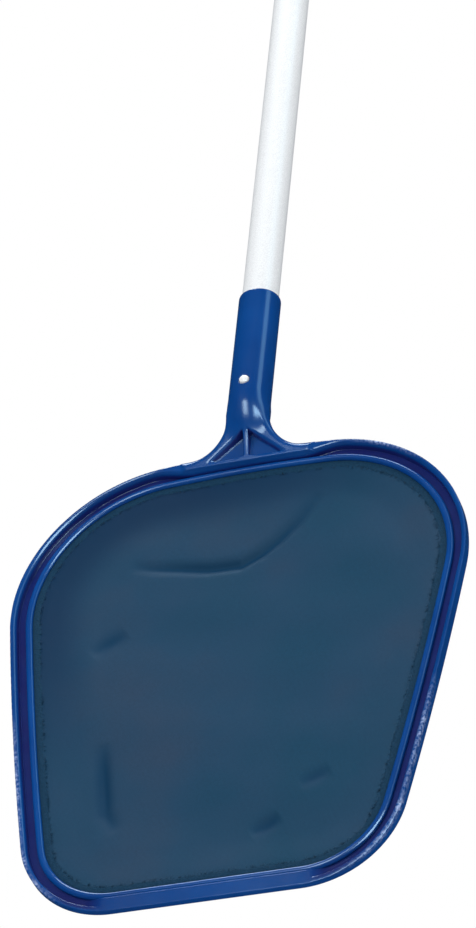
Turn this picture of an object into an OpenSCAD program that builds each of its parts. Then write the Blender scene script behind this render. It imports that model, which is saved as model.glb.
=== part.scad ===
// Leaf skimmer net with a telescopic pole, hanging from the hole in its end cap.
// The origin is the centre of the hanging hole, +Z points up the pole, -Y is the
// open face of the net, and +X is to the right of someone who looks at that face.
// All lengths are in millimetres.

/* [Net frame] */
// Width of the frame across its shoulders
frame_w = 317; // [290:1:340]
// Length of the frame, from the edge next to the pole to the leading edge
frame_l = 359; // [330:1:380]
// Width of the rim, from its outer edge to the net opening
rim_w = 17; // [15:0.5:20]
// Depth of the rim, from its front crest to its flat back
rim_depth = 10; // [9:0.5:12]
// Thickness of the rim's upstanding outer wall
wall_t = 3; // [2:0.5:4]
// Radius of the two large corners next to the pole
shoulder_r = 107; // [80:1:120]
// Radius of the two corners at the leading edge
toe_r = 67; // [50:1:80]
// Radius of the slight bow in the edge next to the pole
top_bow_r = 900; // [600:50:2000]
// Radius of the slight bow in the long sides
side_bow_r = 2800; // [2000:100:4000]
// Lean of the long sides towards the leading edge, at the shoulders, in degrees
side_taper = 7.4; // [5:0.2:9]

/* [Net] */
// Thickness of the woven net
net_t = 0.4; // [0.3:0.1:0.6]
// Width of the folded border of the net that shows inside the retaining ring
hem_show = 4.5; // [2:0.5:8]
// Width of the retaining ring
ring_w = 5.2; // [4:0.2:6]

/* [Socket] */
// Outer diameter of the socket that takes the pole
socket_d = 29.4; // [29:0.1:32]
// Distance from the mouth of the socket to the rim
neck_l = 131.7; // [115:0.1:150]
// Radius of the hollow curves between the socket and the rim
web_r = 29; // [24:1:34]
// Distance from the mouth of the socket to the button holes
button_drop = 83; // [70:1:90]
// Diameter of the snap buttons
button_d = 6.6; // [5:0.2:7]

/* [Pole] */
// Outer diameter of the inner tube
tube_d = 25.4; // [24:0.2:25.6]
// Wall thickness of both tubes
tube_t = 1.2; // [1:0.1:1.5]
// Length of inner tube that shows between the socket and the lock collar
tube_show = 325; // [300:5:500]
// Length of inner tube above the foot of the lock collar
tube_lap = 112; // [100:1:130]
// Length of the outer tube
outer_l = 400; // [350:5:600]
// Length of the hand grip
grip_l = 110; // [90:5:130]
// Diameter of the hanging hole
hang_d = 8; // [6:0.5:10]

/* [Hidden] */

FRAME_BLUE = "#08468e";
RING_BLUE = "#0a4c9a";
NET_BLUE = "#2c4864";
HEM_BLUE = "#3a4f6c";
TUBE_SILVER = "#dfe3e4";
OUTER_SILVER = "#d4d8da";
PIN_WHITE = "#f2f2f0";
STEEL = "#b4b8bc";
GRIP_BLACK = "#26282c";
CAP_BLUE = "#0b3f80";
BUSH_WHITE = "#e4e4e0";

EPS = 0.1;        // overrun of a cutter past the face it opens
ROUND = 96;       // facets of a large round part
SMALL_ROUND = 48; // facets of a pin or a small hole

// Heights along the pole, from the hanging hole down
cap_top = -10;                                // shoulder of the end cap below its tab
outer_top = cap_top - 6;
outer_end = outer_top - outer_l;
ferrule_top = outer_end + 20;                 // the ferrule grips the last 20 mm of the tube
ferrule_end = outer_end - 18;
collar_top = ferrule_top - 8;
collar_end = ferrule_end - 4;
tube_top = collar_end + tube_lap;
mouth_z = collar_end - tube_show;             // mouth of the socket
bore_end = mouth_z - 96;
tube_end = bore_end + 2.5;
button_z = mouth_z - button_drop;
rim_z = mouth_z - neck_l;                     // edge of the rim next to the pole

// Radii round the pole
tube_r = tube_d / 2;
tube_bore_r = tube_r - tube_t;
outer_bore_r = tube_r + 0.5;                  // room for the inner tube to slide
outer_r = outer_bore_r + tube_t;
ferrule_r = outer_r + 2.3;
collar_bore_r = ferrule_r + 0.3;
collar_r = collar_bore_r + 2.7;
cap_r = outer_r + 1.5;
grip_r = outer_r + 2.9;
button_r = button_d / 2;
button_hole_r = button_r + 0.4;
button_reach = socket_d / 2 + 0.7;            // tip of a button from the pole's axis
button_root = 9.1;                            // inner end of a button from the pole's axis

// Depths behind the rim's front crest
crest_y = socket_d / 2 - rim_depth;           // the rim's back is level with the socket's back
groove_depth = 7.2;
ledge_depth = 6.4;
net_depth = ledge_depth - net_t;
hem_depth = net_depth - 0.5;
ring_depth = hem_depth - 2.5;
toe_crest = 4.2;                              // the crest at the leading edge
toe_back = 8.6;                               // the back at the leading edge
toe_bevel = 45;                               // reach of the front bevel
heel_bevel = 20;                              // reach of the back bevel
ledge_in = wall_t + 6.8;                      // inset of the ledge under the ring

// Centres and headings of the arcs of the frame's outline, for the half at +X.
// A heading of 0 runs along +X, and 90 runs down towards the leading edge.
top_turn = asin((frame_w / 2 - shoulder_r) / (top_bow_r - shoulder_r));
side_start = 90 + side_taper;
side_end = acos((frame_l - top_bow_r * (1 - cos(top_turn))
                 - shoulder_r * (cos(top_turn) - cos(side_start))
                 - side_bow_r * cos(side_start) - toe_r) / (toe_r - side_bow_r));
bow_c = [0, -top_bow_r];
shoulder_c = bow_c + (top_bow_r - shoulder_r) * [sin(top_turn), cos(top_turn)];
side_c = shoulder_c + (shoulder_r - side_bow_r) * [sin(side_start), cos(side_start)];
toe_c = side_c + (side_bow_r - toe_r) * [sin(side_end), cos(side_end)];

// Points of an arc about c, without its first point
function arc(c, r, from, to, steps) =
    [for (i = [1:steps]) let (h = from + (to - from) * i / steps) c + r * [sin(h), cos(h)]];

// Half of the frame's outline, moved inwards by d
function half_outline(d) = concat(
    arc(bow_c, top_bow_r - d, 0, top_turn, 2),
    arc(shoulder_c, shoulder_r - d, top_turn, side_start, 16),
    arc(side_c, side_bow_r - d, side_start, side_end, 4),
    arc(toe_c, toe_r - d, side_end, 180, 12));

// The whole outline, moved inwards by d
function outline(d) = let (half = half_outline(d))
    concat(half, [for (i = [len(half) - 1:-1:0]) [-half[i].x, half[i].y]]);

module loop(d) {
    polygon(outline(d));
}

// The outline between two insets
module band(from, to) {
    difference() {
        loop(from);
        loop(to);
    }
}

// A flat shape in the plane of the net, from depth d0 to depth d1 behind the crest
module slab(d0, d1) {
    translate([0, crest_y + d1, rim_z]) rotate([90, 0, 0]) linear_extrude(d1 - d0) children();
}

// A tube round the pole, from height z0 up to z1
module pipe(r_in, r_out, z0, z1) {
    translate([0, 0, z0]) difference() {
        cylinder(h = z1 - z0, r = r_out, $fn = ROUND);
        translate([0, 0, -EPS]) cylinder(h = z1 - z0 + 2 * EPS, r = r_in, $fn = ROUND);
    }
}

// A cylinder across the pole, along Y from y0 to y1
module cross_pin(r, y0, y1, z) {
    translate([0, y1, z]) rotate([90, 0, 0]) cylinder(h = y1 - y0, r = r, $fn = SMALL_ROUND);
}

// A cylinder across the pole, along X from x0 to x1
module side_pin(r, x0, x1, z) {
    translate([x0, 0, z]) rotate([0, 90, 0]) cylinder(h = x1 - x0, r = r, $fn = SMALL_ROUND);
}

// Plan of the two arms between the socket and the rim, narrowed by d on each side
module arms_plan(d) {
    arc_x = socket_d / 2 + web_r;
    arc_v = neck_l - 104;
    difference() {
        translate([-arc_x, -8]) square([2 * arc_x, arc_v + 8]);
        for (side = [-1, 1])
            translate([side * arc_x, arc_v]) circle(r = web_r + d, $fn = ROUND);
    }
}

// Socket wall and the solid neck under it, sloping back from its front to the arms
module socket_body() {
    foot = rim_z - 2;
    slope_top = mouth_z - 96;
    slope_l = 40;
    difference() {
        translate([0, 0, foot]) cylinder(h = mouth_z - foot, d = socket_d, $fn = ROUND);
        translate([-socket_d, -socket_d / 2, slope_top]) rotate([33, 0, 0])
            translate([0, -socket_d, -2 * slope_l]) cube([2 * socket_d, socket_d, 2 * slope_l]);
    }
}

// Arms and back plate between the socket and the rim, highest next to the socket
module web_body() {
    rise = 9;
    difference() {
        slab(-rise, rim_depth) arms_plan(0);
        translate([-2 * web_r, crest_y - 0.8, rim_z - 8]) rotate([15, 0, 0])
            translate([0, -4 * rise, -2 * web_r]) cube([4 * web_r, 4 * rise, 6 * web_r]);
    }
}

// Two pockets between the arms, with a rib between them
module web_pockets() {
    arm_t = 8.8;
    rib_t = 3.8;
    slab(-rim_depth, 1) difference() {
        intersection() {
            arms_plan(arm_t);
            translate([-2 * web_r, -4]) square([4 * web_r, neck_l - 117]);
        }
        translate([-rib_t / 2, -10]) square([rib_t, neck_l]);
    }
}

// What is cut from the front of the rim for the groove, the ring and the net
module channel() {
    slab(-rim_depth, ledge_depth) loop(ledge_in);
    slab(-rim_depth, groove_depth) difference() {
        band(wall_t, ledge_in);
        toe_fill();
        heel_fill();
    }
    slab(-rim_depth, rim_depth + EPS) loop(rim_w);
}

// The straight part of the leading edge has no groove
module toe_fill() {
    translate([-toe_c.x - 8, -frame_l - 1]) square([2 * (toe_c.x + 8), ledge_in + 1]);
}

// The outer wall is thicker where the arms meet it
module heel_fill() {
    reach = 46;
    translate([-reach, -ledge_in + 1.2]) square([2 * reach, ledge_in]);
}

// Bevels that thin the leading edge, at the front and at the back
module toe_bevels() {
    front = atan(toe_crest / toe_bevel);
    back = atan((rim_depth - toe_back) / heel_bevel);
    toe_z = rim_z - frame_l;
    translate([-frame_w, crest_y + toe_crest, toe_z]) rotate([front, 0, 0])
        translate([0, -4 * rim_depth, -frame_w]) cube([2 * frame_w, 4 * rim_depth, 2 * frame_w]);
    translate([-frame_w, crest_y + toe_back, toe_z]) rotate([-back, 0, 0])
        translate([0, 0, -frame_w]) cube([2 * frame_w, 4 * rim_depth, frame_w + heel_bevel + 2]);
}

module skimmer_frame() {
    color(FRAME_BLUE) difference() {
        union() {
            slab(0, rim_depth) loop(0);
            web_body();
            socket_body();
        }
        channel();
        web_pockets();
        intersection() {
            toe_bevels();
            translate([-frame_w, -frame_w, rim_z - 2 * frame_l])
                cube([2 * frame_w, 2 * frame_w, 2 * frame_l - 60]);
        }
        translate([0, 0, bore_end]) cylinder(h = 120, r = tube_r + 0.2, $fn = ROUND);
        cross_pin(button_hole_r, -socket_d, socket_d, button_z);
    }
}

module retaining_ring() {
    color(RING_BLUE) slab(ring_depth, hem_depth) band(ledge_in + 0.2, ledge_in + 0.2 + ring_w);
}

module net_mesh() {
    color(NET_BLUE) slab(net_depth, ledge_depth) loop(ledge_in + 0.4);
}

module net_hem() {
    color(HEM_BLUE) slab(hem_depth, net_depth) band(ledge_in + 0.4, ledge_in + 0.2 + ring_w + hem_show);
}

// A snap button with a retaining flange inside the tube and a chamfered tip, facing -Y
module button() {
    tip = 0.8;
    translate([0, 0, button_z]) rotate([90, 0, 0]) union() {
        translate([0, 0, button_root]) cylinder(h = 1.2, r = button_r + 1.3, $fn = SMALL_ROUND);
        translate([0, 0, button_root])
            cylinder(h = button_reach - button_root - tip, r = button_r, $fn = SMALL_ROUND);
        translate([0, 0, button_reach - tip])
            cylinder(h = tip, r1 = button_r, r2 = button_r - tip, $fn = SMALL_ROUND);
    }
}

module front_button() {
    color(PIN_WHITE) button();
}

module rear_button() {
    color(PIN_WHITE) mirror([0, 1, 0]) button();
}

// A bent strip that pushes both buttons outwards
module button_spring() {
    strip_w = 8;
    strip_t = 0.8;
    foot_y = button_root - 0.05;
    bend_z = 48;
    tail = 6.5;
    color(STEEL) translate([-strip_w / 2, 0, button_z]) rotate([90, 0, 90])
        linear_extrude(strip_w) polygon([
            [foot_y, -tail], [foot_y, tail], [1.4, bend_z], [-1.4, bend_z],
            [-foot_y, tail], [-foot_y, -tail], [-foot_y + strip_t, -tail], [-foot_y + strip_t, tail],
            [-0.6, bend_z - strip_t], [0.6, bend_z - strip_t],
            [foot_y - strip_t, tail], [foot_y - strip_t, -tail]]);
}

module inner_tube() {
    color(TUBE_SILVER) difference() {
        pipe(tube_bore_r, tube_r, tube_end, tube_top);
        cross_pin(button_r + 0.1, -socket_d, socket_d, button_z);
        side_pin(1.5, -socket_d, socket_d, tube_top - 7);
    }
}

// Closes the foot of the inner tube
module tube_end_plug() {
    color(BUSH_WHITE) difference() {
        union() {
            translate([0, 0, tube_end - 1.5]) cylinder(h = 1.5, r = tube_r - 0.1, $fn = ROUND);
            translate([0, 0, tube_end]) cylinder(h = 3.5, r = tube_bore_r, $fn = ROUND);
        }
        translate([0, 0, tube_end + 0.5]) cylinder(h = 12, r = tube_bore_r - 2, $fn = ROUND);
    }
}

// Guides the head of the inner tube inside the outer tube
module glide_bush() {
    color(BUSH_WHITE) difference() {
        union() {
            translate([0, 0, tube_top - 14]) cylinder(h = 14, r = tube_bore_r, $fn = ROUND);
            translate([0, 0, tube_top]) cylinder(h = 10, r = outer_bore_r - 0.1, $fn = ROUND);
        }
        translate([0, 0, tube_top - 15]) cylinder(h = 26, r = tube_bore_r - 2.5, $fn = ROUND);
        side_pin(1.5, -socket_d, socket_d, tube_top - 7);
    }
}

module bush_pin() {
    color(STEEL) side_pin(1.5, -tube_r + 0.1, tube_r - 0.1, tube_top - 7);
}

// Fixed part of the twist lock, on the foot of the outer tube
module lock_ferrule() {
    seat_top = outer_end - 6;
    color(CAP_BLUE) difference() {
        union() {
            pipe(outer_r, ferrule_r, outer_end, ferrule_top);
            pipe(outer_r, ferrule_r + 1.6, ferrule_top - 3, ferrule_top);
            pipe(tube_r + 0.4, ferrule_r, seat_top, outer_end);
            pipe(collet_r() + 0.05, ferrule_r, ferrule_end, seat_top);
        }
        side_pin(1.2, -2 * ferrule_r, 2 * ferrule_r, rivet_z());
    }
}

function collet_r() = tube_r + 2.4;
function rivet_z() = ferrule_top - 5.3;

// Two rivets that fix the ferrule to the outer tube
module ferrule_rivets() {
    color(STEEL) for (turn = [0, 180]) rotate([0, 0, turn]) union() {
        side_pin(1.2, outer_bore_r, ferrule_r + 0.1, rivet_z());
        side_pin(1.8, ferrule_r, ferrule_r + 0.8, rivet_z());
    }
}

// Split ring that grips the inner tube when the collar is turned tight
module lock_collet() {
    slit = 2;
    color(BUSH_WHITE) difference() {
        pipe(tube_r + 0.1, collet_r(), ferrule_end, outer_end - 6.5);
        translate([0, -slit / 2, ferrule_end - 1]) cube([2 * tube_r, slit, 20]);
    }
}

// Ribbed nut that turns on the ferrule and squeezes the collet
module lock_collar() {
    flutes = 18;
    color(CAP_BLUE) difference() {
        union() {
            pipe(collar_bore_r, collar_r, ferrule_end - 0.4, collar_top);
            pipe(tube_r + 0.5, collar_r, collar_end, ferrule_end - 0.4);
        }
        for (i = [0:flutes - 1]) rotate([0, 0, i * 360 / flutes])
            translate([collar_r + 1, 0, collar_end + 3])
                cylinder(h = collar_top - collar_end - 6, r = 1.9, $fn = 24);
    }
}

module outer_tube() {
    color(OUTER_SILVER) difference() {
        pipe(outer_bore_r, outer_r, outer_end, outer_top);
        side_pin(1.2, -2 * outer_r, 2 * outer_r, rivet_z());
        side_pin(1.6, -2 * outer_r, 2 * outer_r, outer_top - 10);
    }
}

// Soft sleeve with shallow rings round it
module hand_grip() {
    rings = 9;
    pitch = (grip_l - 20) / (rings - 1);
    grip_top = outer_top - 26;
    color(GRIP_BLACK) difference() {
        pipe(outer_r, grip_r, grip_top - grip_l, grip_top);
        for (i = [0:rings - 1]) translate([0, 0, grip_top - 10 - i * pitch])
            rotate_extrude($fn = ROUND) translate([grip_r + 0.6, 0]) circle(r = 1.6, $fn = 24);
    }
}

// Plug and shell on the head of the outer tube, with a flat tab for hanging
module end_cap() {
    tab_r = 12;
    tab_t = 8;
    sleeve = 18;
    color(CAP_BLUE) difference() {
        union() {
            translate([0, 0, outer_top - sleeve]) cylinder(h = sleeve + 6, r = cap_r, $fn = ROUND);
            translate([0, 0, cap_top]) cylinder(h = 5, r1 = cap_r, r2 = tab_r - 2, $fn = ROUND);
            translate([0, tab_t / 2, 0]) rotate([90, 0, 0]) linear_extrude(tab_t) union() {
                circle(r = tab_r, $fn = ROUND);
                translate([-tab_r, cap_top]) square([2 * tab_r, -cap_top]);
            }
        }
        pipe(outer_bore_r, outer_r, outer_top - sleeve - EPS, outer_top);
        translate([0, 0, outer_top - sleeve - EPS])
            cylinder(h = sleeve + EPS, r = outer_bore_r - 3, $fn = ROUND);
        cross_pin(hang_d / 2, -cap_r, cap_r, 0);
        side_pin(1.6, -2 * cap_r, 2 * cap_r, outer_top - 10);
    }
}

// Two rivets that fix the end cap to the outer tube
module cap_rivets() {
    color(STEEL) for (turn = [0, 180]) rotate([0, 0, turn]) union() {
        side_pin(1.6, outer_bore_r - 3, cap_r + 0.1, outer_top - 10);
        side_pin(2.4, cap_r, cap_r + 0.8, outer_top - 10);
    }
}

skimmer_frame();
retaining_ring();
net_mesh();
net_hem();
front_button();
rear_button();
button_spring();
inner_tube();
tube_end_plug();
glide_bush();
bush_pin();
lock_ferrule();
ferrule_rivets();
lock_collet();
lock_collar();
outer_tube();
hand_grip();
end_cap();
cap_rivets();
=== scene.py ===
"""Looks of a leaf skimmer net on its telescopic pole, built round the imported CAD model.

Shapes are worked out in millimetres in the CAD frame (+Z up the pole, -Y the open face of the
net) and turned into metres when a mesh is made. "Depth" is measured backwards from the front
crest of the rim, "inset" inwards from the outline of the frame, and "height" upwards from the
edge of the rim next to the pole.
"""
import math

import bpy
import numpy as np
from mathutils import Matrix, Vector


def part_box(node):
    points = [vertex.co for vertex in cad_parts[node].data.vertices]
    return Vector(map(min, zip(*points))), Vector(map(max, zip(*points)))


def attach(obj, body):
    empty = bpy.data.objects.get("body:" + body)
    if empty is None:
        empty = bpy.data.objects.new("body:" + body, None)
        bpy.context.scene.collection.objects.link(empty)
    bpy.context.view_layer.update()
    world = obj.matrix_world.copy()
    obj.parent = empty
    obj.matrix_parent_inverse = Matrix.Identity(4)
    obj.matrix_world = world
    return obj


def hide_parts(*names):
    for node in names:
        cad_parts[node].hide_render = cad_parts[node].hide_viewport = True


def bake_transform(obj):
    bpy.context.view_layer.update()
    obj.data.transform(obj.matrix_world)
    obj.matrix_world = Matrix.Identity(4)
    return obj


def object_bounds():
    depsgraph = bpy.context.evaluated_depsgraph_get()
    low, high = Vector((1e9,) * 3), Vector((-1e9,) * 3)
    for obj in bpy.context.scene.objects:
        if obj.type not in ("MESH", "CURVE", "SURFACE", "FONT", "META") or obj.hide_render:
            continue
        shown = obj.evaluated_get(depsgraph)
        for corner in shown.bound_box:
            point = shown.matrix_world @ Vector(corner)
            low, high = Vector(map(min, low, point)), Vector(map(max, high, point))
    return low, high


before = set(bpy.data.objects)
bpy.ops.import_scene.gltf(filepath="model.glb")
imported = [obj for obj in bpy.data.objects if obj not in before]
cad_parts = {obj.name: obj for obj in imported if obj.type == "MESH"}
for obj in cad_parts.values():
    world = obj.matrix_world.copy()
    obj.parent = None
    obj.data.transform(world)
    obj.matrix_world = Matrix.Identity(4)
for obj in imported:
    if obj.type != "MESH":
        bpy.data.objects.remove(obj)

CAD_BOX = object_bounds()
MM = 0.001
SEED = 7


# ---------------------------------------------------------------- sizes from the frame

def box_mm(node):
    """Lowest and highest corner of a CAD node, in millimetres."""
    low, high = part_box(node)
    return np.array(low) / MM, np.array(high) / MM


FRAME_LOW, FRAME_HIGH = box_mm("skimmer_frame")
FRAME_L = 359.0               # length of the frame, without its neck
RIM_DEPTH = 10.0
RIM_W = 17.0
SOCKET_R = FRAME_HIGH[1]      # the socket's back is level with the back of the rim
BORE_R = box_mm("inner_tube")[1][0] + 0.2
BORE_END = box_mm("inner_tube")[0][2] - 2.5
MOUTH_Z = FRAME_HIGH[2]
RIM_Z = FRAME_LOW[2] + FRAME_L
CREST_Y = SOCKET_R - RIM_DEPTH
NECK_L = MOUTH_Z - RIM_Z
BUTTON_Z = (box_mm("front_button")[0][2] + box_mm("front_button")[1][2]) / 2

# The outline is a chain of arcs for the half at +X: centre, radius, first and last heading.
# A heading of 0 runs along +X, and 90 runs down towards the leading edge.
HALF_W = FRAME_HIGH[0] + 0.1
SHOULDER_R = 107.0
TOE_R = 67.0
BOW_R = 900.0
SIDE_R = 2800.0
SIDE_TAPER = 7.4


def along(heading):
    """Outward direction of the outline at a heading in degrees, as (x, height)."""
    a = math.radians(heading)
    return np.array([math.sin(a), math.cos(a)])


def outline_arcs():
    """Arcs of the right half: bowed top, shoulder, side and toe, each tangent to the next."""
    def cos(heading):
        return math.cos(math.radians(heading))

    top = math.degrees(math.asin((HALF_W - SHOULDER_R) / (BOW_R - SHOULDER_R)))
    side = 90 + SIDE_TAPER
    reach = FRAME_L - BOW_R * (1 - cos(top)) - SHOULDER_R * (cos(top) - cos(side))
    end = math.degrees(math.acos((reach - SIDE_R * cos(side) - TOE_R) / (TOE_R - SIDE_R)))
    bow_c = np.array([0, -BOW_R])
    shoulder_c = bow_c + (BOW_R - SHOULDER_R) * along(top)
    side_c = shoulder_c + (SHOULDER_R - SIDE_R) * along(side)
    toe_c = side_c + (SIDE_R - TOE_R) * along(end)
    return [(bow_c, BOW_R, 0, top), (shoulder_c, SHOULDER_R, top, side),
            (side_c, SIDE_R, side, end), (toe_c, TOE_R, end, 180)]


ARCS = outline_arcs()
TOE_X = ARCS[-1][0][0]        # half the length of the straight leading edge


def inset_at(x, height):
    """Distance inwards from the outline, negative outside it."""
    x = np.abs(x)
    found = np.where(x <= TOE_X, height + FRAME_L, 1e3)
    for centre, radius, start, stop in ARCS:
        dx, dz = x - centre[0], height - centre[1]
        heading = np.degrees(np.arctan2(dx, dz))
        inside = (heading >= start - 1e-6) & (heading <= stop + 1e-6)
        found = np.where(inside, np.minimum(found, radius - np.hypot(dx, dz)), found)
    return found


def stations(step):
    """Points of the outline about step apart, and the inward direction at each."""
    points, inward = [], []
    for centre, radius, start, stop in ARCS:
        count = max(2, math.ceil(radius * math.radians(stop - start) / step))
        for i in range(count):
            out = along(start + (stop - start) * i / count)
            points.append(centre + radius * out)
            inward.append(-out)
    count = math.ceil(TOE_X / step)
    for i in range(count + 1):
        points.append(np.array([TOE_X * (1 - i / count), -FRAME_L]))
        inward.append(np.array([0.0, 1.0]))
    points, inward = np.array(points), np.array(inward)
    mirror = np.array([-1.0, 1.0])
    return (np.concatenate([points, points[-2:0:-1] * mirror]),
            np.concatenate([inward, inward[-2:0:-1] * mirror]))


# ---------------------------------------------------------------- field and mesh helpers

def smooth_min(a, b, k):
    """Union of two fields with a fillet of width k."""
    h = np.clip(0.5 + 0.5 * (b - a) / k, 0, 1)
    return b + (a - b) * h - k * h * (1 - h)


def smooth_max(a, b, k):
    """Intersection of two fields with its edge rounded by k."""
    return -smooth_min(-a, -b, k)


def round_corner(a, b, r):
    """Field of what lies inside both a and b, with a rounded edge of radius r between them."""
    return np.hypot(np.maximum(a + r, 0), np.maximum(b + r, 0)) + np.minimum(np.maximum(a, b) + r, 0) - r


def ramp(value, start, stop):
    """Smooth step from 0 at start to 1 at stop."""
    t = np.clip((value - start) / (stop - start), 0, 1)
    return t * t * (3 - 2 * t)


def block(dx, dy, half_x, half_y, rounding):
    """Field of a rounded rectangle."""
    qx = np.abs(dx) - (half_x - rounding)
    qy = np.abs(dy) - (half_y - rounding)
    return np.hypot(np.maximum(qx, 0), np.maximum(qy, 0)) + np.minimum(np.maximum(qx, qy), 0) - rounding


def gradient(field, points, h=0.04):
    """Slope of a field at points, from samples h mm to each side."""
    slopes = []
    for axis in range(3):
        offset = np.zeros(3)
        offset[axis] = h
        slopes.append((field(*(points + offset).T) - field(*(points - offset).T)) / (2 * h))
    return np.stack(slopes, axis=1)


def new_piece(name, points_mm, faces, materials, normals=None):
    """Object made from points in millimetres, smooth shaded."""
    mesh = bpy.data.meshes.new(name)
    mesh.from_pydata([tuple(p) for p in np.asarray(points_mm) * MM], [], [tuple(f) for f in faces])
    mesh.update()
    mesh.polygons.foreach_set("use_smooth", [True] * len(mesh.polygons))
    if normals is not None:
        mesh.normals_split_custom_set_from_vertices([tuple(n) for n in normals])
    for material in materials:
        mesh.materials.append(material)
    piece = bpy.data.objects.new(name, mesh)
    bpy.context.scene.collection.objects.link(piece)
    return piece


def mesh_of(field, low, high, step):
    """Points, quads and normals of the surface where field(x, y, z) is 0; it is negative inside."""
    axes = [np.arange(a, b + step, step) for a, b in zip(low, high)]
    value = np.empty([len(a) for a in axes], np.float32)
    for k in range(0, len(axes[2]), 32):
        part = np.ix_(axes[0], axes[1], axes[2][k:k + 32])
        value[:, :, k:k + 32] = field(*part)
    inside = value < 0
    corners = [(i, j, k) for i in (0, 1) for j in (0, 1) for k in (0, 1)]
    cut = tuple(slice(0, n - 1) for n in value.shape)
    count = sum(inside[i:i + inside.shape[0] - 1, j:j + inside.shape[1] - 1,
                       k:k + inside.shape[2] - 1].astype(np.int8) for i, j, k in corners)
    active = (count > 0) & (count < 8)
    number = np.full([n - 1 for n in value.shape], -1, np.int64)
    number[active] = np.arange(active.sum())
    cells = np.argwhere(active)
    total, crossed = np.zeros((len(cells), 3)), np.zeros(len(cells))
    for a in corners:
        for axis in range(3):
            if a[axis]:
                continue
            b = tuple(c + (i == axis) for i, c in enumerate(a))
            va = value[tuple((cells + a).T)]
            vb = value[tuple((cells + b).T)]
            hit = (va < 0) != (vb < 0)
            share = np.where(hit, va / np.where(hit, va - vb, 1), 0)
            total += np.where(hit[:, None], np.array(a) + share[:, None] * (np.array(b) - np.array(a)), 0)
            crossed += hit
    points = np.array([a[0] for a in axes]) + step * (cells + total / crossed[:, None])
    quads = []
    for axis in range(3):
        u, v = (axis + 1) % 3, (axis + 2) % 3
        shifted = tuple(slice(1, None) if i == axis else slice(1, -1) for i in range(3))
        base = tuple(slice(0, -1) if i == axis else slice(1, -1) for i in range(3))
        for entering in (True, False):
            edge = (inside[base] != entering) & (inside[shifted] == entering)
            at = np.argwhere(edge)
            at[:, u] += 1
            at[:, v] += 1
            ring = []
            for du, dv in ((-1, -1), (0, -1), (0, 0), (-1, 0)):
                cell = at.copy()
                cell[:, u] += du
                cell[:, v] += dv
                ring.append(number[tuple(cell.T)])
            ring = ring[::-1] if entering else ring
            quads.append(np.stack(ring, axis=1))
    for _ in range(4):
        slope = gradient(field, points)
        size = np.maximum((slope ** 2).sum(1), 1e-3)
        move = -(field(*points.T) / size)[:, None] * slope
        length = np.linalg.norm(move, axis=1, keepdims=True)
        points = points + move * np.minimum(1, 0.4 * step / np.maximum(length, 1e-9))
    slope = gradient(field, points)
    normals = slope / np.maximum(np.linalg.norm(slope, axis=1, keepdims=True), 1e-9)
    return points, np.concatenate(quads), normals


def loops_to_quads(rings, per_ring, closed_rings):
    """Quads between rings of points that lie one after the other."""
    faces = []
    for r in range(rings if closed_rings else rings - 1):
        a, b = r * per_ring, (r + 1) % rings * per_ring
        for i in range(per_ring):
            j = (i + 1) % per_ring
            faces.append((a + i, a + j, b + j, b + i))
    return faces


def plane_point(x, height, depth):
    """Points in the CAD frame from places on the plane of the net."""
    return np.stack([x, CREST_Y + depth, RIM_Z + height], axis=-1)


def sweep(name, profile, materials, step):
    """Piece whose profile, a list of (inset, depth), runs once round the outline."""
    outline, inward = stations(step)
    rings = []
    for inset, depth in profile:
        flat = outline + inward * inset
        rings.append(plane_point(flat[:, 0], flat[:, 1], np.full(len(flat), depth)))
    return new_piece(name, np.concatenate(rings),
                     loops_to_quads(len(profile), len(outline), True), materials)


def lathe(name, profile, materials, axis="z", segments=96, centre=(0, 0, 0)):
    """Closed piece turned from a profile of (radius, distance along the axis)."""
    rings = []
    for r, h in profile:
        a = np.arange(segments) * 2 * math.pi / segments
        c, s, flat = r * np.cos(a), r * np.sin(a), np.full(segments, float(h))
        rings.append(np.stack([c, s, flat] if axis == "z" else [c, flat, -s], axis=1))
    points = np.concatenate(rings) + np.array(centre)
    return new_piece(name, points, loops_to_quads(len(profile), segments, True), materials)


# ---------------------------------------------------------------- material helpers

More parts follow.
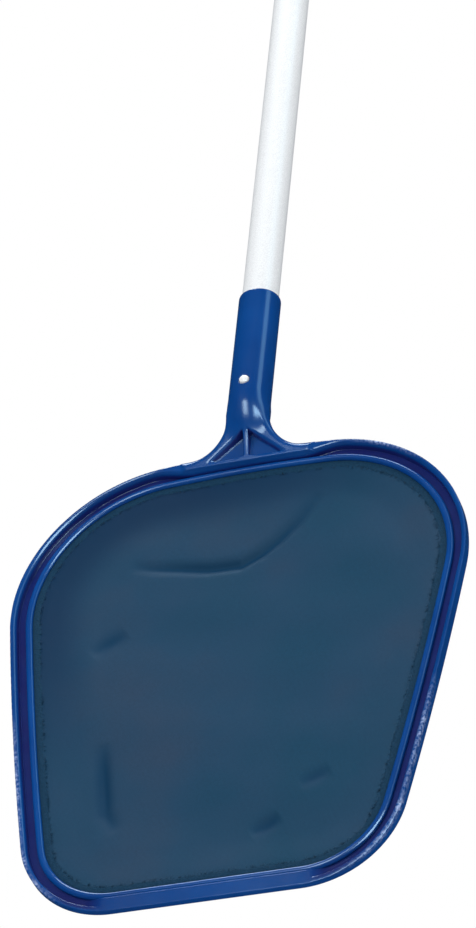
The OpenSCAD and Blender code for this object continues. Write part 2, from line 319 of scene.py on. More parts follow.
class Shader:
    """A node material with one Principled shader, and short names for its nodes."""

    def __init__(self, name, **sockets):
        self.material = bpy.data.materials.new(name)
        self.material.use_nodes = True
        self.tree = self.material.node_tree
        self.main = next(n for n in self.tree.nodes if n.type == "BSDF_PRINCIPLED")
        for key, value in sockets.items():
            self.main.inputs[key.replace("_", " ")].default_value = value

    def node(self, kind, settings=None, **inputs):
        made = self.tree.nodes.new(kind)
        for key, value in (settings or {}).items():
            setattr(made, key, value)
        for key, value in inputs.items():
            socket = made.inputs[int(key[1:])] if key[1:].isdigit() else made.inputs[key.replace("_", " ")]
            if isinstance(value, bpy.types.NodeSocket):
                self.tree.links.new(value, socket)
            else:
                socket.default_value = value
        return made

    def place(self):
        return self.node("ShaderNodeTexCoord").outputs["Object"]

    def stretched(self, scale, turn=0.0):
        return self.node("ShaderNodeMapping", Vector=self.place(), Scale=scale,
                         Rotation=(0, turn, 0)).outputs["Vector"]

    def noise(self, scale, detail=4.0, vector=None, roughness=0.55):
        return self.node("ShaderNodeTexNoise", Vector=vector or self.place(), Scale=scale,
                         Detail=detail, Roughness=roughness).outputs["Fac"]

    def attribute(self, name):
        return self.node("ShaderNodeAttribute", {"attribute_name": name}).outputs["Fac"]

    def steps(self, value, stops):
        """Colour ramp through stops of (position, colour)."""
        made = self.node("ShaderNodeValToRGB", Fac=value)
        elements = made.color_ramp.elements
        while len(elements) < len(stops):
            elements.new(0.5)
        for element, (position, colour) in zip(elements, stops):
            element.position = position
            element.color = (*colour, 1) if len(colour) == 3 else colour
        return made.outputs["Color"]

    def spread(self, value, low, high, start=0.0, stop=1.0):
        return self.node("ShaderNodeMapRange", Value=value, From_Min=start, From_Max=stop,
                         To_Min=low, To_Max=high).outputs["Result"]

    def mix(self, fac, a, b, kind="MIX"):
        made = self.node("ShaderNodeMix", {"data_type": "RGBA", "blend_type": kind}, _0=fac)
        for socket, value in ((made.inputs[6], a), (made.inputs[7], b)):
            if isinstance(value, bpy.types.NodeSocket):
                self.tree.links.new(value, socket)
            else:
                socket.default_value = (*value, 1)
        return made.outputs[2]

    def math(self, kind, a, b=0.0):
        return self.node("ShaderNodeMath", {"operation": kind}, _0=a, _1=b).outputs[0]

    def bump(self, height, strength, distance):
        made = self.node("ShaderNodeBump", Height=height, Strength=strength, Distance=distance)
        self.tree.links.new(made.outputs[0], self.main.inputs["Normal"])

    def drive(self, **links):
        for key, socket in links.items():
            self.tree.links.new(socket, self.main.inputs[key.replace("_", " ")])
        return self


def moulded_plastic(name, dark, light):
    """Glossy moulded plastic with slow colour drift, flow lines, pale scuffs, a painted glint at the nick
    and dark purple shade painted into the recesses.
    """
    s = Shader(name, IOR=1.5)
    s.main.inputs["Specular IOR Level"].default_value = 0.55
    colour = s.steps(s.noise(14.0, 3.0), [(0.35, dark), (0.65, light)])
    rough = s.spread(s.noise(60.0, 6.0), 0.136, 0.255)
    scuff_and_nick_glint = s.math("MULTIPLY", s.attribute("scuff_and_nick_glint"), s.spread(s.noise(420.0, 5.0), 0.0, 1.0, 0.40, 0.64))
    # Pale colour for the worn edges, and the glint painted at the nick.
    colour = s.mix(scuff_and_nick_glint, colour, (0.36, 0.46, 0.76))
    rough = s.math("ADD", rough, s.math("MULTIPLY", scuff_and_nick_glint, 0.25))
    # Painted shade: the groove and the pocket walls are mixed towards dark purple, where shade falls in
    # them.
    colour = s.mix(s.math("MULTIPLY", s.attribute("painted_recess_shade"), s.spread(s.noise(70.0, 3.0), 0.65, 1.0)),
                   colour, (0.012, 0.012, 0.128))
    s.drive(Base_Color=colour, Roughness=rough)
    flow = s.noise(90.0, 5.0, s.stretched((1.0, 1.0, 0.35)))
    s.bump(flow, 0.05, 0.0006)
    return s.material


def woven_net(name):
    """Fine woven mesh: threads every 0.8 mm over slow patches of grey blue and teal, with the rim's shadow
    painted near its top and left edges and shade painted along the creases.
    """
    s = Shader(name, IOR=1.45)
    s.main.inputs["Specular IOR Level"].default_value = 0.12
    s.main.inputs["Sheen Weight"].default_value = 0.02
    s.main.inputs["Sheen Roughness"].default_value = 0.5
    patches = s.noise(9.0, 3.0)
    tone = s.steps(patches, [(0.32, (0.004, 0.050, 0.104)), (0.50, (0.010, 0.052, 0.110)),
                             (0.68, (0.020, 0.052, 0.104))])
    pitch = 2 * math.pi / (0.8 * MM) / 20.0
    across = s.node("ShaderNodeTexWave", {"bands_direction": "X"}, Vector=s.place(), Scale=pitch,
                    Distortion=0.3, Detail=0.0).outputs["Fac"]
    down = s.node("ShaderNodeTexWave", {"bands_direction": "Z"}, Vector=s.place(), Scale=pitch,
                  Distortion=0.3, Detail=0.0).outputs["Fac"]
    threads = s.math("MAXIMUM", across, down)
    weave = s.spread(threads, 0.72, 1.12)
    grain = s.spread(s.noise(700.0, 2.0), 0.86, 1.14)
    shade = s.attribute("shade")
    colour = s.mix(1.0, tone, s.node("ShaderNodeCombineColor", _0=weave, _1=weave, _2=weave).outputs[0],
                   "MULTIPLY")
    colour = s.mix(1.0, colour, s.node("ShaderNodeCombineColor", _0=grain, _1=grain, _2=grain).outputs[0],
                   "MULTIPLY")
    # Painted shadow: the net is mixed darker near the rim at its top and left, where the rim's shadow
    # falls.
    colour = s.mix(shade, colour, (0.0, 0.024, 0.074))
    # Painted shade: the net is darker teal along the creases, where shade falls in their valleys.
    colour = s.mix(s.attribute("crease"), colour, (0.0, 0.037, 0.094))
    s.drive(Base_Color=colour, Roughness=s.spread(threads, 0.75, 0.5))
    s.bump(threads, 0.25, 0.0002)
    return s.material


def frayed_hem(name):
    """Felted cloth edge, mottled in the blues of the net."""
    s = Shader(name, IOR=1.45)
    s.main.inputs["Specular IOR Level"].default_value = 0.1
    s.main.inputs["Sheen Weight"].default_value = 0.05
    fibres = s.noise(900.0, 4.0)
    colour = s.steps(fibres, [(0.3, (0.001, 0.024, 0.060)), (0.52, (0.003, 0.038, 0.084)),
                              (0.75, (0.012, 0.048, 0.104))])
    s.drive(Base_Color=colour, Roughness=s.spread(fibres, 0.6, 0.9))
    s.bump(fibres, 0.8, 0.0005)
    return s.material


def drawn_aluminium(name, base, roughness, metallic):
    """Drawn tube: fine lines along the pole, a light grain and a few handling marks."""
    s = Shader(name, Metallic=metallic)
    lines = s.noise(420.0, 3.0, s.stretched((1.0, 1.0, 0.012)))
    grain = s.noise(1500.0, 3.0)
    marks = s.spread(s.noise(38.0, 8.0), 0.0, 1.0, 0.60, 0.72)
    dull = tuple(c * 0.82 for c in base)
    tone = s.mix(s.spread(grain, 0.0, 1.0, 0.35, 0.65), dull, base)
    s.drive(Base_Color=s.mix(s.math("MULTIPLY", marks, 0.35), tone, dull),
            Roughness=s.math("ADD", s.spread(lines, roughness * 0.75, roughness * 1.3),
                             s.math("MULTIPLY", marks, 0.12)))
    s.bump(s.math("ADD", lines, s.math("MULTIPLY", grain, 0.5)), 0.12, 0.0002)
    return s.material


def bright_steel(name):
    """Bright steel with fine lines across the pole."""
    s = Shader(name, Metallic=1.0)
    lines = s.noise(500.0, 4.0, s.stretched((1.0, 0.1, 1.0)))
    s.drive(Base_Color=s.steps(lines, [(0.3, (0.42, 0.43, 0.45)), (0.7, (0.62, 0.63, 0.65))]),
            Roughness=s.spread(lines, 0.18, 0.34))
    s.bump(lines, 0.1, 0.0001)
    return s.material


def white_moulding(name, tone):
    """Pale plastic with a slight drift in tone and a fine grain."""
    s = Shader(name, IOR=1.5)
    drift = s.noise(120.0, 3.0)
    s.drive(Base_Color=s.steps(drift, [(0.3, tuple(c * 0.93 for c in tone)), (0.7, tone)]),
            Roughness=s.spread(drift, 0.28, 0.42))
    s.bump(s.noise(1800.0, 2.0), 0.08, 0.0002)
    return s.material


def textured_lock(name):
    """Moulded plastic with a fine spark-eroded texture."""
    s = Shader(name, IOR=1.5)
    drift = s.noise(40.0, 4.0)
    s.drive(Base_Color=s.steps(drift, [(0.3, (0.006, 0.052, 0.20)), (0.7, (0.012, 0.078, 0.27))]),
            Roughness=s.spread(s.noise(300.0, 3.0), 0.30, 0.48))
    s.bump(s.noise(2600.0, 3.0), 0.35, 0.0003)
    return s.material


def foam_rubber(name):
    """Dark foam with small cells and a little dust."""
    s = Shader(name, IOR=1.5)
    cells = s.node("ShaderNodeTexVoronoi", {"feature": "DISTANCE_TO_EDGE"}, Vector=s.place(),
                   Scale=1400.0).outputs["Distance"]
    dust = s.spread(s.noise(30.0, 6.0), 0.0, 1.0, 0.45, 0.75)
    s.drive(Base_Color=s.mix(dust, (0.018, 0.019, 0.022), (0.048, 0.050, 0.056)),
            Roughness=s.spread(dust, 0.62, 0.85))
    s.bump(cells, 0.5, 0.0004)
    return s.material


# ---------------------------------------------------------------- skimmer frame

WALL_T = 3.4                  # outer wall of the rim, at its crest
WALL_SLOPE = 0.14
CREST_ROUND = 2.7             # inner edge of the crest
GROOVE_DEPTH = 6.4            # floor of the groove between the wall and the ring
LEDGE_DEPTH = 6.4
LEDGE_IN = 9.8                # the ledge under the net starts here
HEEL_WALL = 8.8               # the outer wall between the arms
WEB_R = 29.0
WEB_X = SOCKET_R + WEB_R
WEB_HEIGHT = NECK_L - 104.0   # centre of the arcs where the arms meet the socket
WEB_SLOPE = 0.268             # tangent of the 15 degree slope of the arms' front
WEB_SLOPE_COS = 0.966         # its cosine, which turns a drop into a distance
LEAN_START = 42.0             # below this height the front of the neck curves back
LEAN_BEND = 28.5              # height over which it curves, to the slope below
LEAN_SLOPE = 0.75
BUTTON_HOLE_R = 3.7
CHIP = (126.5, -311.0, 2.2)   # x, height and radius of a nick in the crest
TOE_CREST = 4.2               # the rim is thinner at the leading edge, from both sides
TOE_BACK = 8.6


def rim_field(x, height, depth):
    """Rim: an outer wall, a groove, and a ledge for the net; the leading edge has no groove."""
    inset = inset_at(x, height)
    wide = ramp(np.abs(x), 68, 38) * ramp(height, -60, -40)
    wall_t = WALL_T + (HEEL_WALL - WALL_T) * wide
    inner = inset - wall_t - WALL_SLOPE * depth
    wall = np.maximum(round_corner(inner, -depth, CREST_ROUND), round_corner(-inset, -depth, 1.0))
    filled = ramp(np.abs(x), TOE_X + 20, TOE_X - 6) * ramp(height, -FRAME_L + 60, -FRAME_L + 40)
    floor_top = GROOVE_DEPTH * (1 - filled)
    floor_half = (RIM_DEPTH - floor_top) / 2
    floor_w = LEDGE_IN + 0.6
    floor = block(inset - floor_w / 2, depth - RIM_DEPTH + floor_half, floor_w / 2, floor_half, 0.6)
    ledge_half = (RIM_DEPTH - LEDGE_DEPTH) / 2
    ledge = block(inset - (LEDGE_IN + RIM_W) / 2, depth - RIM_DEPTH + ledge_half,
                  (RIM_W - LEDGE_IN) / 2, ledge_half, 0.6)
    rim = smooth_min(smooth_min(wall, floor, 0.2), ledge, 0.6)
    over_toe = height + FRAME_L
    front = TOE_CREST * (1 - over_toe / 45) - depth
    back = depth - TOE_BACK - (RIM_DEPTH - TOE_BACK) * over_toe / 20
    rim = smooth_max(rim, round_corner(-inset, depth - RIM_DEPTH, 3.0), 0.3)
    chip = np.sqrt((x - CHIP[0]) ** 2 + (height - CHIP[1]) ** 2 + (depth + 0.6) ** 2) - CHIP[2]
    return smooth_max(smooth_max(smooth_max(rim, front, 0.8), back, 0.8), -chip, 0.5)


def web_field(x, height, depth):
    """Arms and plate between the socket and the rim; the outer edge of each arm is round."""
    side = np.abs(x)
    hollow = WEB_R - np.hypot(side - WEB_X, height - WEB_HEIGHT)
    above = side - SOCKET_R + 0.35 * (height - WEB_HEIGHT)
    plan = np.maximum(np.where(height > WEB_HEIGHT, above, hollow), side - WEB_X - 4)
    front = (-0.8 - (height + 8) * WEB_SLOPE - depth) * WEB_SLOPE_COS
    web = round_corner(plan, front, 5.0)
    flat = ramp(height, 27, 4)
    back = flat * SOCKET_R + (1 - flat) * np.sqrt(np.maximum(SOCKET_R ** 2 - x * x, 0))
    web = smooth_max(web, (depth + CREST_Y - back) * 0.8, 1.5)
    return smooth_max(smooth_max(web, -8.3 - height, 1.0), height - WEB_HEIGHT - 12, 2.0)


def pocket_field(x, height, depth):
    """Two shallow pockets in the plate, one on each side of the rib."""
    side = np.abs(x)
    arm = (side - 3.0) * 0.632 + (height - 12.3) * 0.776
    over_rim = height + x * x / (2 * BOW_R) + 4.3
    pocket = round_corner(round_corner(arm, 1.9 - side, 0.7), -over_rim, 0.8)
    return round_corner(pocket, depth - 1.2 + 0.12 * over_rim, 1.0)


def socket_field(x, y, height):
    """Round socket whose front curves back towards the rim at the foot of the neck."""
    slim = 0.06 * np.maximum(34 - height, 0)
    socket = smooth_max(np.hypot(x, y) - SOCKET_R + slim, height - NECK_L, 1.0)
    below = np.maximum(LEAN_START - height, 0)
    bend = np.minimum(below, LEAN_BEND)
    lean = LEAN_SLOPE * (bend ** 2 / (2 * LEAN_BEND) + below - bend)
    ridge = (np.hypot(0.9 * x, y - lean) - SOCKET_R) * 0.8
    return smooth_max(smooth_max(socket, ridge, 2.0), -3.0 - height, 1.0)


def frame_field(x, y, z):
    """The whole moulding: rim, arms, neck and socket, with its holes."""
    height, depth = z - RIM_Z, y - CREST_Y
    body = smooth_min(rim_field(x, height, depth), web_field(x, height, depth), 1.5)
    body = smooth_min(body, socket_field(x, y, height), 3.5)
    edge = 0.9 + 1.9 * ramp(np.abs(x), 3, 9)      # the rib is sharper than the arms
    body = round_corner(body, -pocket_field(x, height, depth), edge)
    bore = smooth_max(np.hypot(x, y) - BORE_R, BORE_END - z, 1.0)
    body = smooth_max(body, -bore, 0.7)
    button_hole = np.hypot(x, z - BUTTON_Z) - BUTTON_HOLE_R
    return smooth_max(body, -button_hole, 0.6)


# Centre x, centre height and reach of the patches where the rim drags on the pool wall.
SCUFFS = [(138, -262, 55), (112, -330, 45), (-141, -250, 60), (-118, -322, 40), (98, -18, 30)]


def scuff_and_nick_glint_amount(points, seed):
    """Wear along the outer edge of the rim, in patches, and a glint painted pale at the nick, where its
    broken face catches the light.
    """
    x, height, depth = points[:, 0], points[:, 2] - RIM_Z, points[:, 1] - CREST_Y
    inset = inset_at(x, height)
    edge = ramp(inset, 3.3, 0.9) * ramp(depth, 6.0, 0.5)
    place = np.zeros(len(points))
    for cx, cz, reach in SCUFFS:
        place = np.maximum(place, ramp(np.hypot(x - cx, height - cz), reach, reach * 0.3))
    rng = np.random.default_rng(seed)
    run = np.arctan2(x, height + FRAME_L / 2)
    streak = sum(np.sin(run * f + rng.uniform(0, 6.28)) for f in (23, 41, 67, 103)) / 4
    chip = np.hypot(x - CHIP[0], height - CHIP[1]) < CHIP[2] * 1.7
    # The nick is painted pale as a glint off its broken face.
    return np.maximum(edge * place * np.clip(0.8 + 0.6 * streak, 0, 1), chip * 0.9 * (depth < 4))


def painted_recess_shade_amount(points, normals):
    """Painted shade: how much dark purple is painted where shade falls, in the groove of the rim and on the
    sideways walls of the pockets.
    """
    x, height, depth = points[:, 0], points[:, 2] - RIM_Z, points[:, 1] - CREST_Y
    inset = inset_at(x, height)
    side = np.abs(x)
    groove = ramp(depth, 1.8, 4.2) * (depth < GROOVE_DEPTH + 0.6) * (inset > WALL_T * 0.5)
    groove = groove * ramp(inset, LEDGE_IN + 0.6, LEDGE_IN - 0.6)
    groove = groove * (1 - ramp(side, TOE_X + 20, TOE_X) * (height < -FRAME_L / 2))
    pocket = (side < 26) * (height > -4.6) * (height < 13) * (depth < 2) * ramp(-normals[:, 1], 0.80, 0.35)
    inner = (side - 3.6) * 0.632 + (height - 13.1) * 0.776 < 0
    return np.maximum(groove, pocket * inner)


def add_mask(piece, name, values):
    """Store one value from 0 to 1 at each point, for the piece's material to read."""
    mask = piece.data.attributes.new(name, "FLOAT", "POINT")
    mask.data.foreach_set("value", np.clip(values, 0, 1).astype(np.float32))


def build_frame(material):
    margin = 1.5
    step = 0.8
    low = np.array([-HALF_W, -SOCKET_R, FRAME_LOW[2]]) - margin
    high = np.array([HALF_W, SOCKET_R, MOUTH_Z]) + margin
    points, quads, normals = mesh_of(frame_field, low, high, step)
    piece = new_piece("frame_moulding", points, quads, [material], normals)
    # Mask of the edge wear and of the glint painted at the nick.
    add_mask(piece, "scuff_and_nick_glint", scuff_and_nick_glint_amount(points, SEED))
    # Mask of the dark purple shade painted into the groove and onto the pocket walls.
    add_mask(piece, "painted_recess_shade", painted_recess_shade_amount(points, normals))
    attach(piece, "net_end")
    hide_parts("skimmer_frame")
    return piece


# ---------------------------------------------------------------- ring, net and hem

RING_IN = 9.5                 # inset of the ring's outer edge
RING_W = 5.0
RING_TOP = 3.1                # depths of the ring's ridge, the net and the hem
NET_TOP = 6.02
HEM_TOP = 5.5
HEM_EDGE = 20.0               # inset of the raw edge of the hem
CLAMPED = RING_IN + 0.6       # inset where the net and its hem start, under the ring


def build_ring(material):
    """Half-round ring that holds the net down on the ledge."""
    half = RING_W / 2
    turns = np.linspace(math.pi, 0, 17)
    profile = [(RING_IN + half - half * math.cos(t), HEM_TOP - (HEM_TOP - RING_TOP) * math.sin(t))
               for t in turns]
    piece = sweep("net_retaining_ring", profile, [material], step=1.6)
    # The ring gets no scuffs, no painted glint at a nick and no painted shade in recesses.
    add_mask(piece, "scuff_and_nick_glint", np.zeros(len(piece.data.vertices)))
    add_mask(piece, "painted_recess_shade", np.zeros(len(piece.data.vertices)))
    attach(piece, "net_end")
    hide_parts("retaining_ring")
    return piece


# Creases pushed back into the net: points as (x, height), then depth and half width.
CREASES = [
    ([(-80, -78), (-62, -83), (-43, -86), (-22, -90), (0, -91), (14, -84), (24, -76), (38, -61), (52, -41)],
     3.4, 4.4),
    ([(-84, -223), (-82, -240), (-80, -256), (-76, -280), (-67, -296)], 2.4, 5.2),
    ([(-98, -150), (-88, -142), (-76, -134)], 1.5, 6.5),
    ([(26, -312), (36, -306), (44, -301)], 1.8, 5.4),
    ([(56, -280), (66, -275), (76, -271)], 1.3, 5.4),
]
SHARP = 1.8                   # creases shallower than this get fainter painted shade


def crease_depth(x, height, route, deep, half_width):
    """Depth of one crease, tapering to nothing at both of its ends."""
    route = np.array(route, float)
    lengths = np.linalg.norm(np.diff(route, axis=0), axis=1)
    total, before = lengths.sum(), 0.0
    nearest, share = np.full(x.shape, 1e9), np.zeros(x.shape)
    for a, b, length in zip(route, route[1:], lengths):
        t = ((x - a[0]) * (b[0] - a[0]) + (height - a[1]) * (b[1] - a[1])) / length ** 2
        t = np.clip(t, 0, 1)
        away = np.hypot(x - a[0] - t * (b[0] - a[0]), height - a[1] - t * (b[1] - a[1]))
        closer = away < nearest
        share = np.where(closer, (before + t * length) / total, share)
        nearest = np.where(closer, away, nearest)
        before += length
    taper = np.sin(np.pi * np.clip(share, 0, 1)) ** 0.7
    return deep * taper * np.exp(-(nearest / half_width) ** 2)


def net_depth(x, height, inset):
    """Depth of the net: level under the ring, then slack, with folds and creases."""
    slack = 1.9 * ramp(inset, 17, 44)
    rng = np.random.default_rng(SEED + 1)
    folds = np.zeros(x.shape)
    for wave in (150, 105, 70, 48):
        a, phase = rng.uniform(0, math.pi), rng.uniform(0, 2 * math.pi)
        folds += wave / 300 * np.sin((x * math.cos(a) + height * math.sin(a)) * 2 * math.pi / wave + phase)
    creases = sum(crease_depth(x, height, *crease) for crease in CREASES)
    return NET_TOP + slack + ramp(inset, 18, 60) * folds + ramp(inset, 16, 30) * creases


def build_net(material):
    """Concentric rings of points from the clamped edge to the middle of the net."""
    outline, inward = stations(2.2)
    start, count = outline + inward * CLAMPED, 110
    middle = np.array([0.0, -FRAME_L * 0.48])
    rings = []
    for i in range(count):
        flat = middle + (start - middle) * (1 - i / count)
        inset = inset_at(flat[:, 0], flat[:, 1])
        rings.append(plane_point(flat[:, 0], flat[:, 1], net_depth(flat[:, 0], flat[:, 1], inset)))
    points = np.concatenate(rings)
    faces = loops_to_quads(count, len(outline), False)
    last, n = (count - 1) * len(outline), len(outline)
    centre = plane_point(*[np.array([v]) for v in middle],
                         net_depth(*[np.array([v]) for v in (*middle, 150.0)]))
    points = np.concatenate([points, centre])
    faces += [(last + i, last + (i + 1) % n, len(points) - 1) for i in range(n)]
    piece = new_piece("woven_net", points, faces, [material])
    x, height = points[:, 0], points[:, 2] - RIM_Z
    inset = inset_at(x, height)
    # Painted shadow of the rim on the net, strongest near its top and left edges.
    add_mask(piece, "shade", 0.85 * ramp(inset, 60, 27) * ramp(height - 0.9 * x, -190, 10))
    # Mask of the shade painted along the creases, strongest where they are deepest.
    folds = [crease_depth(x, height, *crease) / max(crease[1], SHARP) for crease in CREASES]
    add_mask(piece, "crease", 1.35 * np.max(folds, axis=0))
    thick = piece.modifiers.new("cloth_thickness", "SOLIDIFY")
    thick.thickness = 0.3 * MM
    thick.offset = -1
    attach(piece, "net_end")
    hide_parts("net_mesh")
    return piece


def build_hem(material):
    """Folded border of the net, which thins out to a raw edge with loose fibres."""
    profile = [(CLAMPED, HEM_TOP + 0.02), (HEM_EDGE - 3.2, HEM_TOP + 0.05),
               (HEM_EDGE - 1.6, HEM_TOP + 0.10), (HEM_EDGE - 0.5, HEM_TOP + 0.25),
               (HEM_EDGE, NET_TOP - 0.10), (HEM_EDGE - 0.2, NET_TOP - 0.02),
               (CLAMPED, NET_TOP - 0.02)]
    outline, inward = stations(1.2)
    rng = np.random.default_rng(SEED + 2)
    wander = sum(rng.uniform(0.1, 0.3) * np.sin(np.arange(len(outline)) * 2 * math.pi * k / len(outline)
                                                + rng.uniform(0, 6.28)) for k in (9, 17, 38, 71))
    rough = rng.normal(0, 0.12, len(outline))
    rings = []
    for inset, depth in reversed(profile):
        free = inset > HEM_EDGE - 2
        flat = outline + inward * (inset + (wander + rough) * free)[:, None]
        rings.append(plane_point(flat[:, 0], flat[:, 1], np.full(len(flat), depth) + 0.08 * rough * free))
    points = [np.concatenate(rings)]
    faces = loops_to_quads(len(profile), len(outline), True)
    total = len(points[0])
    # Loose fibres: thin three-sided needles that lie on the net at the raw edge
    for _ in range(900):
        i = rng.integers(len(outline))
        lean = rng.uniform(-0.9, 0.9)
        inner = inward[i] * math.cos(lean) + np.array([inward[i][1], -inward[i][0]]) * math.sin(lean)
        root = outline[i] + inward[i] * (HEM_EDGE - rng.uniform(0.2, 1.2))
        tip = root + inner * rng.uniform(1.2, 3.6)
        side = np.array([-inner[1], inner[0]]) * 0.11
        lift = HEM_TOP - 0.1 + rng.uniform(0, 0.25)
        end = HEM_TOP + 0.2 - rng.uniform(0, 0.5)
        needle = np.array([[*(root + side), lift], [*(root - side), lift], [*root, lift - 0.16],
                           [*tip, end]])
        points.append(plane_point(needle[:, 0], needle[:, 1], needle[:, 2]))
        faces += [(total, total + 1, total + 2), (total, total + 3, total + 1),
                  (total + 1, total + 3, total + 2), (total + 2, total + 3, total)]
        total += 4
    piece = new_piece("net_hem_band", np.concatenate(points), faces, [material])
    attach(piece, "net_end")
    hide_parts("net_hem")
    return piece


# ---------------------------------------------------------------- buttons, lock, grip and cap

def build_button(name, node, body, facing, material):
    """Snap button with a domed tip; facing is -1 for the front one and 1 for the rear one."""
    low, high = box_mm(node)
    tip, root = (low[1], high[1]) if facing < 0 else (high[1], low[1])
    r = (high[0] - low[0]) / 2 - 1.3
    dome = [(r * math.sin(a), tip - facing * 1.5 * (1 - math.cos(a)))
            for a in np.linspace(0.02, math.pi / 2, 10)]
    shoulder = root + facing * 1.2
    profile = dome + [(r, shoulder), (r + 1.1, shoulder), (r + 1.3, shoulder - facing * 0.2),
                      (r + 1.3, root + facing * 0.2), (r + 1.1, root), (0.05, root)]
    if facing > 0:
        profile = profile[::-1]
    piece = lathe(name, profile, [material], axis="y", segments=40, centre=(0, 0, BUTTON_Z))
    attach(piece, body)
    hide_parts(node)
    return piece


def build_spring_arm(name, facing, material):
    """Half of the spring clip, from its foot at the button up to its bend inside the tube."""
    low, high = box_mm("button_spring")
    foot, top, tail = high[1], high[2], 2 * BUTTON_Z - low[2]
    strip = 0.8
    heights = [low[2], BUTTON_Z, *np.linspace(tail, top - strip, 24)]
    outer = list(np.interp(heights, [tail, top], [foot, 1.4]))
    inner = list(np.interp(heights, [tail, top - strip], [foot - strip, 0.6]))
    heights += [heights[-1], top]
    outer += [outer[-1], 1.4]
    inner += [0.0, 0.0]
    points = []
    for z, far, near in zip(heights, outer, inner):
        points += [(low[0], facing * far, z), (high[0], facing * far, z),
                   (high[0], facing * near, z), (low[0], facing * near, z)]
    faces = loops_to_quads(len(heights), 4, False)
    last = len(points) - 4
    faces += [(3, 2, 1, 0), (last, last + 1, last + 2, last + 3)]
    faces = faces if facing < 0 else [face[::-1] for face in faces]
    piece = new_piece(name, np.array(points), faces, [material])
    piece.data.polygons.foreach_set("use_smooth", [False] * len(faces))
    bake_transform(piece)
    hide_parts("button_spring")
    return piece


def build_collar(material):
    """Twist collar with rounded flutes for the fingers."""
    low, high = box_mm("lock_collar")
    outer, height, middle = high[0], high[2] - low[2], (high[2] + low[2]) / 2
    ferrule_r = box_mm("ferrule_rivets")[1][0] - 0.8
    lip_top = box_mm("lock_ferrule")[0][2] - 0.4
    tube_r = box_mm("inner_tube")[1][0]
    flutes = 18

    def field(x, y, z):
        radius = np.hypot(x, y)
        body = block(radius - outer / 2, z - middle, outer / 2, height / 2, 1.4)
        turn = np.mod(np.arctan2(y, x) + math.pi / flutes, 2 * math.pi / flutes) - math.pi / flutes
        beyond = np.maximum(np.abs(z - middle) - (height / 2 - 5.5), 0)
        flute = np.sqrt((radius * np.cos(turn) - outer - 1) ** 2 + (radius * np.sin(turn)) ** 2
                        + beyond ** 2) - 1.9
        body = smooth_max(body, -flute, 0.9)
        bore = np.minimum(radius - tube_r - 0.5,
                          np.maximum(radius - ferrule_r - 0.3, lip_top - z))
        return smooth_max(body, -bore, 0.4)

    points, quads, normals = mesh_of(field, low - 1.5, high + 1.5, 0.5)
    piece = new_piece("twist_collar", points, quads, [material], normals)
    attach(piece, "collar")
    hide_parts("lock_collar")
    return piece


def build_grip(material):
    """Soft sleeve with rounded rings and rolled ends."""
    low, high = box_mm("hand_grip")
    outer, inner = high[0], box_mm("outer_tube")[1][0]
    rings, steps = 9, 14
    pitch = (high[2] - low[2] - 20) / (rings - 1)
    profile = [(inner, low[2] + 0.6), (inner + 0.5, low[2])]
    roll = 2.2
    profile += [(outer - roll + roll * math.sin(a), low[2] + roll * (1 - math.cos(a)))
                for a in np.linspace(0, math.pi / 2, 7)]
    half = 2.6
    for i in range(rings):
        centre = low[2] + 10 + i * pitch
        profile += [(outer - 1.0 * math.cos(t * math.pi / 2) ** 2, centre + half * t)
                    for t in np.linspace(-1, 1, steps)]
    profile += [(outer - roll + roll * math.cos(a), high[2] - roll * (1 - math.sin(a)))
                for a in np.linspace(0, math.pi / 2, 7)]
    profile += [(inner + 0.5, high[2]), (inner, high[2] - 0.6)]
    piece = lathe("ribbed_grip", profile, [material])
    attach(piece, "pole")
    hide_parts("hand_grip")
    return piece


def build_cap(material):
    """End cap: a round shell that flows into the flat tab with the hanging hole."""
    low, high = box_mm("end_cap")
    outer, tab_r, tab_half, sleeve_top = high[0], 12.0, 4.0, -10.0
    tube_r = box_mm("outer_tube")[1][0]
    tube_top = box_mm("outer_tube")[1][2]
    middle, half = (low[2] + sleeve_top) / 2, (sleeve_top - low[2]) / 2

    def field(x, y, z):
        radius = np.hypot(x, y)
        shell = block(radius - outer / 2, z - middle, outer / 2, half, 1.6)
        disc = np.where(z > 0, np.hypot(x, z) - tab_r, np.abs(x) - tab_r)
        tab = smooth_max(np.maximum(disc, sleeve_top - 6 - z), np.abs(y) - tab_half, 1.6)
        body = smooth_min(shell, tab, 5.0)
        hole = np.hypot(x, z) - 4.0
        body = smooth_max(body, -hole, 1.2)
        slot = np.maximum(np.maximum(radius - tube_r, tube_r - 1.2 - radius), z - tube_top)
        hollow = np.maximum(radius - (tube_r - 4.2), z - tube_top)
        return np.maximum(np.maximum(body, -slot), -hollow)

    points, quads, normals = mesh_of(field, low - 1.5, high + 1.5, 0.5)
    piece = new_piece("hanging_cap", points, quads, [material], normals)
    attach(piece, "pole")
    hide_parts("end_cap")
    return piece


# ---------------------------------------------------------------- the object

blue = moulded_plastic("frame_blue", (0.0002, 0.046, 0.225), (0.0004, 0.064, 0.285))
ring_blue = moulded_plastic("ring_blue", (0.0002, 0.048, 0.240), (0.0005, 0.067, 0.300))
net_cloth = woven_net("net_weave")
hem_cloth = frayed_hem("hem_fray")
tube_metal = drawn_aluminium("inner_tube_aluminium", (0.98, 0.99, 0.99), 0.34, 0.0)
outer_metal = drawn_aluminium("outer_tube_aluminium", (0.86, 0.88, 0.89), 0.28, 0.6)
steel = bright_steel("rivet_steel")
white = white_moulding("button_white", (0.95, 0.95, 0.94))
nylon = white_moulding("nylon_natural", (0.74, 0.74, 0.70))
lock_blue = textured_lock("lock_blue")
rubber = foam_rubber("grip_rubber")

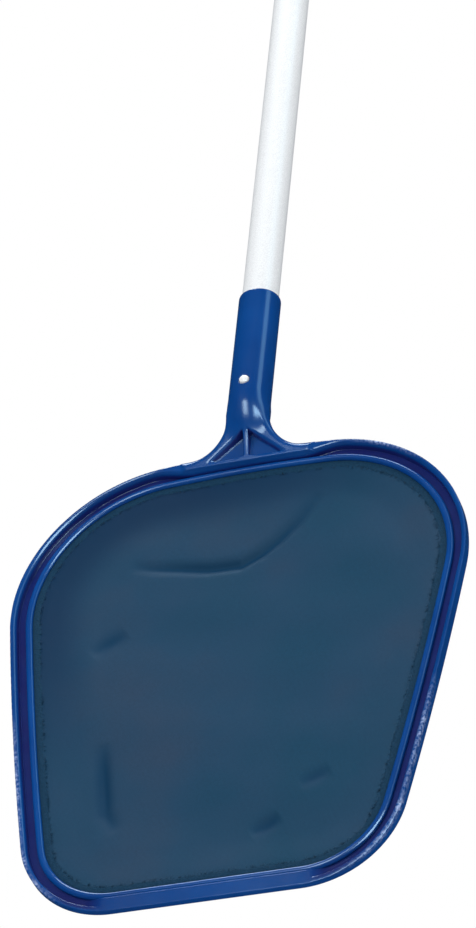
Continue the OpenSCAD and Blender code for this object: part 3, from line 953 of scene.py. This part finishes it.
build_frame(blue)
build_ring(ring_blue)
net = build_net(net_cloth)
hem = build_hem(hem_cloth)
build_button("front_snap_pin", "front_button", "front_snap_button", -1, white)
build_button("rear_snap_pin", "rear_button", "rear_snap_button", 1, white)
build_spring_arm("front_spring_arm", -1, steel)
build_spring_arm("rear_spring_arm", 1, steel)
build_collar(lock_blue)
build_grip(rubber)
build_cap(lock_blue)

CARRIED = {
    "inner_tube": (tube_metal, "tube_aluminium"),
    "outer_tube": (outer_metal, "outer_aluminium"),
    "bush_pin": (steel, "pin_steel"),
    "ferrule_rivets": (steel, "pin_steel"),
    "cap_rivets": (steel, "pin_steel"),
    "tube_end_plug": (nylon, "bush_plastic"),
    "glide_bush": (nylon, "bush_plastic"),
    "lock_collet": (nylon, "bush_plastic"),
    "lock_ferrule": (lock_blue, "lock_plastic"),
}
for node, (material, slot_name) in CARRIED.items():
    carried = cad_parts[node]
    carried.data.materials.clear()
    carried.data.materials.append(material)


# ---------------------------------------------------------------- stage, light and camera

def build_floor():
    """Plain pale floor well below the hanging object, so that the camera can stand above it."""
    drop, radius, ring = 2.3, 14.0, 64      # metres, metres, corners
    z = CAD_BOX[0].z - drop
    points = [(radius * math.cos(a), radius * math.sin(a), z)
              for a in np.linspace(0, 2 * math.pi, ring, endpoint=False)]
    mesh = bpy.data.meshes.new("floor")
    mesh.from_pydata(points, [], [tuple(range(ring))])
    s = Shader("floor_pale", Roughness=0.9)
    s.drive(Base_Color=s.steps(s.noise(2.0, 2.0), [(0.3, (0.93, 0.93, 0.93)), (0.7, (0.95, 0.95, 0.95))]))
    mesh.materials.append(s.material)
    floor = bpy.data.objects.new("floor", mesh)
    bpy.context.scene.collection.objects.link(floor)
    floor.visible_glossy = False


def toward(azimuth, elevation):
    """Unit vector from the object; azimuth 0 is its open face and 90 its right."""
    a, e = math.radians(azimuth), math.radians(elevation)
    return Vector((math.sin(a) * math.cos(e), -math.cos(a) * math.cos(e), math.sin(e)))


def soft_box(name, aim, azimuth, elevation, distance, size, radiance, colour=(1, 1, 1), shines=True):
    """Area light turned to the object; it either shines in glossy surfaces or lights matt ones."""
    data = bpy.data.lights.new(name, "AREA")
    data.shape, data.size, data.size_y = "RECTANGLE", size[0], size[1]
    data.energy, data.color = radiance * math.pi * size[0] * size[1], colour
    lamp = bpy.data.objects.new(name, data)
    lamp.visible_glossy = shines
    lamp.visible_diffuse = not shines
    back = toward(azimuth, elevation)
    lamp.location = aim + back * distance
    lamp.rotation_mode = "QUATERNION"
    lamp.rotation_quaternion = (-back).to_track_quat("-Z", "Y")
    bpy.context.scene.collection.objects.link(lamp)
    return lamp


def build_light(aim):
    """Four soft boxes that shine in the plastic and three that only light matt surfaces."""
    soft_box("streak_right", aim, 62, 40, 2.6, (0.75, 2.4), 2.6, (0.40, 0.80, 1.0))
    soft_box("strip_front", aim, -7, 2, 3.2, (0.9, 1.5), 11.0, (0.66, 0.88, 1.0))
    soft_box("strip_low_right", aim, 46, -10, 3.0, (2.2, 1.8), 15.0, (0.52, 0.82, 1.0))
    soft_box("strip_overhead", aim, -40, 72, 3.0, (1.6, 0.8), 10.0, (0.72, 0.88, 1.0))
    soft_box("fill_front", aim, -20, 20, 3.2, (2.0, 2.0), 2.7, shines=False)
    soft_box("fill_top", aim, 30, 62, 3.0, (2.2, 1.4), 2.8, shines=False)
    soft_box("fill_right", aim, 70, 5, 3.0, (1.2, 2.0), 1.5, shines=False)


def build_world():
    """White behind the object, even light round it, and darker surroundings in its reflections."""
    world = bpy.data.worlds.new("studio")
    bpy.context.scene.world = world
    world.use_nodes = True
    tree = world.node_tree
    tree.nodes.clear()
    path = tree.nodes.new("ShaderNodeLightPath")
    shader = None
    for ray, colour, strength in (("", (0.93, 0.96, 1.0), 0.62), ("Is Glossy Ray", (0.25, 0.65, 1.0), 0.05),
                                  ("Is Camera Ray", (1.0, 1.0, 1.0), 1.0)):
        sky = tree.nodes.new("ShaderNodeBackground")
        sky.inputs[0].default_value = (*colour, 1)
        sky.inputs[1].default_value = strength
        if ray:
            both = tree.nodes.new("ShaderNodeMixShader")
            tree.links.new(path.outputs[ray], both.inputs[0])
            tree.links.new(shader, both.inputs[1])
            tree.links.new(sky.outputs[0], both.inputs[2])
            shader = both.outputs[0]
        else:
            shader = sky.outputs[0]
    out = tree.nodes.new("ShaderNodeOutputWorld")
    tree.links.new(shader, out.inputs[0])


def build_camera():
    """Below the net and to its right, looking up, as the hanging net is seen in use."""
    azimuth, elevation, roll, distance = 23.58, -39.84, 6.02, 3.0
    aim = Vector((-0.0331, CREST_Y * MM + 0.0626, MOUTH_Z * MM - 0.0846))
    data = bpy.data.cameras.new("camera")
    data.lens = 168.8
    data.sensor_width = 36.0
    data.clip_start, data.clip_end = 0.05, 60.0
    camera = bpy.data.objects.new("camera", data)
    back = toward(azimuth, elevation)
    turn = (-back).to_track_quat("-Z", "Y").to_matrix().to_4x4()
    camera.matrix_world = Matrix.Translation(aim + back * distance) @ turn @ Matrix.Rotation(
        math.radians(roll), 4, "Z")
    bpy.context.scene.collection.objects.link(camera)
    bpy.context.scene.camera = camera


HEAD = Vector((0, CREST_Y * MM, (RIM_Z - FRAME_L / 2) * MM))
bpy.context.scene.view_settings.view_transform = "Standard"
build_floor()
build_light(HEAD)
build_world()
build_camera()
